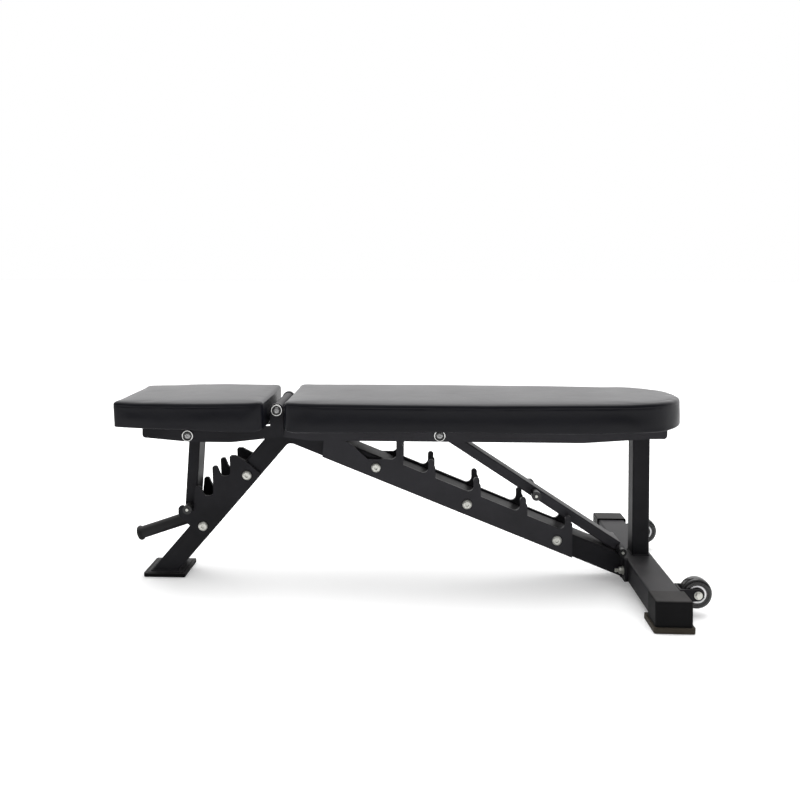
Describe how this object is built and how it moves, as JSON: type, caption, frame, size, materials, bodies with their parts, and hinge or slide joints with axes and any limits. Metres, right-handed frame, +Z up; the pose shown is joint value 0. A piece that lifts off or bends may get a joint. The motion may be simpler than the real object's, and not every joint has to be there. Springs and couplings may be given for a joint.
{
  "type": "adjustable weight bench",
  "caption": "Weight bench with a flat-to-upright backrest and a tilting seat, each propped in toothed ladder plates on a welded tube frame with transport wheels.",
  "frame": {"origin": "on the floor, under the middle of the bench's bounding box", "axes": "+X along the bench from the seat end to the transport wheels, +Z up, symmetric about the XZ plane"},
  "size_m": [1.342, 0.608, 0.44],
  "materials": {
    "frame_coat": "satin black powder coat with a fine texture",
    "zinc_bolt": "bright zinc plate",
    "pivot_steel": "bright nickel plate",
    "rim_silver": "satin silver",
    "bearing_steel": "ground steel",
    "vinyl": "smooth black vinyl, soft sheen",
    "board": "black stained plywood",
    "foot_rubber": "matt brown black rubber",
    "grip_rubber": "matt ribbed rubber",
    "cap_plastic": "matt black plastic",
    "wheel_tyre": "smooth black polyurethane",
    "wheel_hub": "black moulded nylon"
  },
  "bodies": {
    "frame": {"spine_tube": "frame_coat", "front_leg_tube": "frame_coat", "hinge_bracket": "frame_coat", "hinge_tube": "frame_coat", "hinge_shaft": "pivot_steel", "hinge_rings": "pivot_steel", "back_ladder_near": "frame_coat", "back_ladder_far": "frame_coat", "seat_ladder_near": "frame_coat", "seat_ladder_far": "frame_coat", "ladder_bolts": "zinc_bolt", "ladder_nuts": "zinc_bolt", "spine_flange": "frame_coat", "base_beam": "frame_coat", "flange_bolts": "zinc_bolt", "flange_nuts": "zinc_bolt", "base_shoe_near": "foot_rubber", "base_shoe_far": "foot_rubber", "rear_post": "frame_coat", "post_rest_cap": "foot_rubber", "front_foot_tray": "foot_rubber", "front_foot_plate": "frame_coat", "handle_tube": "frame_coat", "handle_grip": "grip_rubber", "wheel_forks": "frame_coat", "wheel_axles": "zinc_bolt", "wheel_nuts": "zinc_bolt"},
    "seat": {"seat_plates": "frame_coat", "seat_crossbars": "frame_coat", "seat_board": "board", "seat_pad": "vinyl", "seat_pad_bolts": "zinc_bolt", "seat_prop_shaft": "pivot_steel", "seat_prop_rings": "pivot_steel"},
    "seat_prop": {"seat_prop_tube": "frame_coat", "seat_prop_sleeve": "frame_coat", "seat_catch_rod": "frame_coat", "seat_catch_caps": "cap_plastic", "seat_catch_screws": "zinc_bolt"},
    "backrest": {"backrest_plates": "frame_coat", "backrest_crossbars": "frame_coat", "rest_crossbar": "frame_coat", "backrest_board": "board", "backrest_pad": "vinyl", "backrest_pad_bolts": "zinc_bolt", "back_prop_shaft": "pivot_steel", "back_prop_rings": "pivot_steel"},
    "back_prop": {"back_prop_tube": "frame_coat", "back_prop_sleeve": "frame_coat", "back_catch_rods": "frame_coat", "back_catch_caps": "cap_plastic", "back_catch_screws": "zinc_bolt"},
    "wheel_near": {"tyre_near": "wheel_tyre", "hub_near": "wheel_hub", "rim_rings_near": "rim_silver", "bearings_near": "bearing_steel"},
    "wheel_far": {"tyre_far": "wheel_tyre", "hub_far": "wheel_hub", "rim_rings_far": "rim_silver", "bearings_far": "bearing_steel"}
  },
  "joints": [
    {"name": "backrest_tilt", "type": "hinge", "parent": "frame", "child": "backrest", "pos_m": [-0.2925, 0, 0.416], "axis": [0, -1, 0], "range_deg": [0, 80]},
    {"name": "back_prop_swing", "type": "hinge", "parent": "backrest", "child": "back_prop", "pos_m": [0.0885, 0, 0.3587], "axis": [0, 1, 0], "range_deg": [0, 112]},
    {"name": "seat_tilt", "type": "hinge", "parent": "frame", "child": "seat", "pos_m": [-0.2925, 0, 0.416], "axis": [0, 1, 0], "range_deg": [0, 18]},
    {"name": "seat_prop_swing", "type": "hinge", "parent": "seat", "child": "seat_prop", "pos_m": [-0.5035, 0, 0.354], "axis": [0, -1, 0], "range_deg": [0, 21.6]},
    {"name": "wheel_near_spin", "type": "hinge", "parent": "frame", "child": "wheel_near", "pos_m": [0.6375, -0.205, 0.0485], "axis": [0, 1, 0], "continuous": true},
    {"name": "wheel_far_spin", "type": "hinge", "parent": "frame", "child": "wheel_far", "pos_m": [0.6375, 0.205, 0.0485], "axis": [0, 1, 0], "continuous": true}
  ],
  "couplings": [
    {"joint": "back_prop_swing", "follows": "backrest_tilt", "ratio": 1.4},
    {"joint": "seat_prop_swing", "follows": "seat_tilt", "ratio": 1.2}
  ]
}
